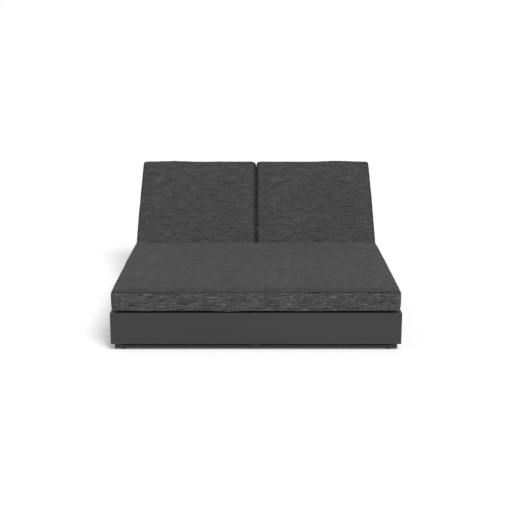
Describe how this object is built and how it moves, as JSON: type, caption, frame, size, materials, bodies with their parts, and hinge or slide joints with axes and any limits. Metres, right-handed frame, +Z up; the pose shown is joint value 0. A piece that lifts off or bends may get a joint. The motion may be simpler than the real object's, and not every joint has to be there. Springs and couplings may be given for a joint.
{
  "type": "double chaise lounger",
  "caption": "Low double sun lounger on a box base with recessed plinth, a full-width seat cushion and separately reclining slatted backs with props and toothed racks.",
  "frame": {"origin": "middle of the footprint, on the floor under the feet", "axes": "+X to the right as seen from the front, +Y from the front to the rear end with the backs, +Z up"},
  "size_m": [1.6, 2.05, 0.7822],
  "materials": {
    "frame_coat": "satin",
    "cushion_fabric": "matte",
    "steel": "satin",
    "foot_plastic": "matte",
    "buffer_rubber": "matte"
  },
  "bodies": {
    "base": {"front_panel": "frame_coat", "rear_panel": "frame_coat", "left_panel": "frame_coat", "right_panel": "frame_coat", "plinth_front_tube": "frame_coat", "plinth_rear_tube": "frame_coat", "plinth_left_tube": "frame_coat", "plinth_right_tube": "frame_coat", "plinth_cross_tube": "frame_coat", "front_rail": "frame_coat", "hinge_rail": "frame_coat", "centre_beam": "frame_coat", "seat_slats": "frame_coat", "rear_ledger": "frame_coat", "ledger_buffers": "buffer_rubber", "hinge_centre_post": "frame_coat", "front_centre_post": "frame_coat", "hinge_pins": "steel", "panel_screws": "steel", "seat_cushion": "cushion_fabric", "front_left_foot": "foot_plastic", "middle_left_foot": "foot_plastic", "rear_left_foot": "foot_plastic", "front_left_post": "frame_coat", "hinge_left_post": "frame_coat", "rear_left_post": "frame_coat", "left_side_rail": "frame_coat", "left_outer_rack": "frame_coat", "left_inner_rack": "frame_coat", "left_outer_hinge_bracket": "frame_coat", "left_inner_hinge_bracket": "frame_coat", "front_right_foot": "foot_plastic", "middle_right_foot": "foot_plastic", "rear_right_foot": "foot_plastic", "front_right_post": "frame_coat", "hinge_right_post": "frame_coat", "rear_right_post": "frame_coat", "right_side_rail": "frame_coat", "right_outer_rack": "frame_coat", "right_inner_rack": "frame_coat", "right_outer_hinge_bracket": "frame_coat", "right_inner_hinge_bracket": "frame_coat"},
    "left_back": {"left_back_outer_rail": "frame_coat", "left_back_inner_rail": "frame_coat", "left_back_top_rail": "frame_coat", "left_back_slats": "frame_coat", "left_pivot_rod": "steel", "left_back_cushion": "cushion_fabric"},
    "left_prop": {"left_prop_outer_arm": "frame_coat", "left_prop_inner_arm": "frame_coat", "left_prop_foot_rod": "steel"},
    "right_back": {"right_back_outer_rail": "frame_coat", "right_back_inner_rail": "frame_coat", "right_back_top_rail": "frame_coat", "right_back_slats": "frame_coat", "right_pivot_rod": "steel", "right_back_cushion": "cushion_fabric"},
    "right_prop": {"right_prop_outer_arm": "frame_coat", "right_prop_inner_arm": "frame_coat", "right_prop_foot_rod": "steel"}
  },
  "joints": [
    {"name": "left_recline", "type": "hinge", "parent": "base", "child": "left_back", "pos_m": [0, 0.27, 0.215], "axis": [1, 0, 0], "range_deg": [-40, 13]},
    {"name": "left_prop_swing", "type": "hinge", "parent": "left_back", "child": "left_prop", "pos_m": [0, 0.50753, 0.39864], "axis": [1, 0, 0], "range_deg": [-26, 80]},
    {"name": "right_recline", "type": "hinge", "parent": "base", "child": "right_back", "pos_m": [0, 0.27, 0.215], "axis": [1, 0, 0], "range_deg": [-40, 13]},
    {"name": "right_prop_swing", "type": "hinge", "parent": "right_back", "child": "right_prop", "pos_m": [0, 0.50753, 0.39864], "axis": [1, 0, 0], "range_deg": [-26, 80]}
  ],
  "couplings": [
    {"joint": "left_prop_swing", "follows": "left_recline", "ratio": -2},
    {"joint": "right_prop_swing", "follows": "right_recline", "ratio": -2}
  ]
}
